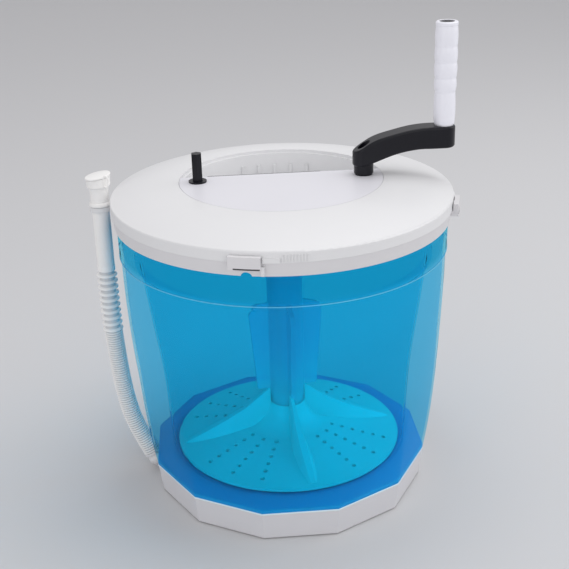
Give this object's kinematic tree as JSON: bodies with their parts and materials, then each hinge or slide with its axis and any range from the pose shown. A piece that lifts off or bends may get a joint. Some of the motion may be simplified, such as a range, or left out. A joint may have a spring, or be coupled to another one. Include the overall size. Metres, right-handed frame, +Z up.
{
  "type": "hand-crank washing machine",
  "caption": "Small manual washing machine: clear faceted tub, turning wash basket with a finned column, twist-on geared lid, lift-off crank and a drain hose on its side.",
  "frame": {"origin": "on the floor, under the axis of the wash basket", "axes": "+Z up along the basket axis, +X towards the crank, -Y towards the front"},
  "size_m": [0.3798, 0.356, 0.491],
  "materials": {
    "white_plastic": "satin",
    "hose_plastic": "satin",
    "clear_blue": "gloss",
    "deep_blue": "gloss",
    "black_plastic": "satin",
    "grey_plastic": "satin",
    "gear_nylon": "satin",
    "rubber": "matte",
    "steel": "satin"
  },
  "bodies": {
    "tub": {"base_plinth": "white_plastic", "rubber_feet": "rubber", "base_screws": "steel", "tub_shell": "clear_blue", "sump_tray": "deep_blue", "pivot_pin": "steel", "thrust_washer": "gear_nylon", "rim_collar": "white_plastic", "hose_clip": "white_plastic", "drain_outlet": "white_plastic", "drain_hose": "hose_plastic", "hose_nozzle": "hose_plastic"},
    "basket": {"basket_wall": "clear_blue", "basket_floor": "deep_blue", "wash_column": "deep_blue", "pivot_bush": "gear_nylon", "drive_socket": "grey_plastic"},
    "seal": {"lid_seal": "rubber"},
    "lid": {"lid_shell": "white_plastic", "top_cover": "white_plastic", "gear_case": "grey_plastic", "case_screws": "steel", "spindle_bushes": "black_plastic", "output_bush": "gear_nylon"},
    "crank_drive": {"crank_spindle": "black_plastic", "crank_gear": "gear_nylon"},
    "wash_drive": {"wash_spindle": "black_plastic", "wash_gear": "gear_nylon"},
    "output": {"output_gear": "gear_nylon", "output_shaft": "steel", "drive_dog": "grey_plastic"},
    "crank": {"crank_arm": "black_plastic", "grip_pin": "black_plastic"},
    "grip": {"crank_grip": "white_plastic"},
    "plug": {"drain_plug": "hose_plastic"}
  },
  "joints": [
    {"name": "basket_spin", "type": "hinge", "parent": "tub", "child": "basket", "pos_m": [0, 0, 0.036], "axis": [0, 0, 1], "continuous": true},
    {"name": "lid_lift", "type": "slide", "parent": "tub", "child": "seal", "axis": [0, 0, 1], "range_m": [0, 0.16]},
    {"name": "lid_turn", "type": "hinge", "parent": "seal", "child": "lid", "pos_m": [0, 0, 0.317], "axis": [0, 0, 1], "range_deg": [-8, 0]},
    {"name": "crank_turn", "type": "hinge", "parent": "lid", "child": "crank_drive", "pos_m": [0.085, 0, 0.3425], "axis": [0, 0, 1], "continuous": true},
    {"name": "wash_turn", "type": "hinge", "parent": "lid", "child": "wash_drive", "pos_m": [-0.085, 0, 0.3425], "axis": [0, 0, 1], "continuous": true},
    {"name": "output_turn", "type": "hinge", "parent": "lid", "child": "output", "pos_m": [0, 0, 0.2857], "axis": [0, 0, 1], "continuous": true},
    {"name": "crank_lift", "type": "slide", "parent": "crank_drive", "child": "crank", "axis": [0, 0, 1], "range_m": [0, 0.045]},
    {"name": "grip_spin", "type": "hinge", "parent": "crank", "child": "grip", "pos_m": [0.167, 0, 0.438], "axis": [0, 0, 1], "continuous": true},
    {"name": "plug_pull", "type": "slide", "parent": "tub", "child": "plug", "axis": [0, 0, 1], "range_m": [0, 0.03]}
  ],
  "couplings": [
    {"joint": "output_turn", "follows": "basket_spin", "ratio": 1},
    {"joint": "crank_turn", "follows": "basket_spin", "ratio": -0.51111},
    {"joint": "wash_turn", "follows": "basket_spin", "ratio": -1}
  ]
}
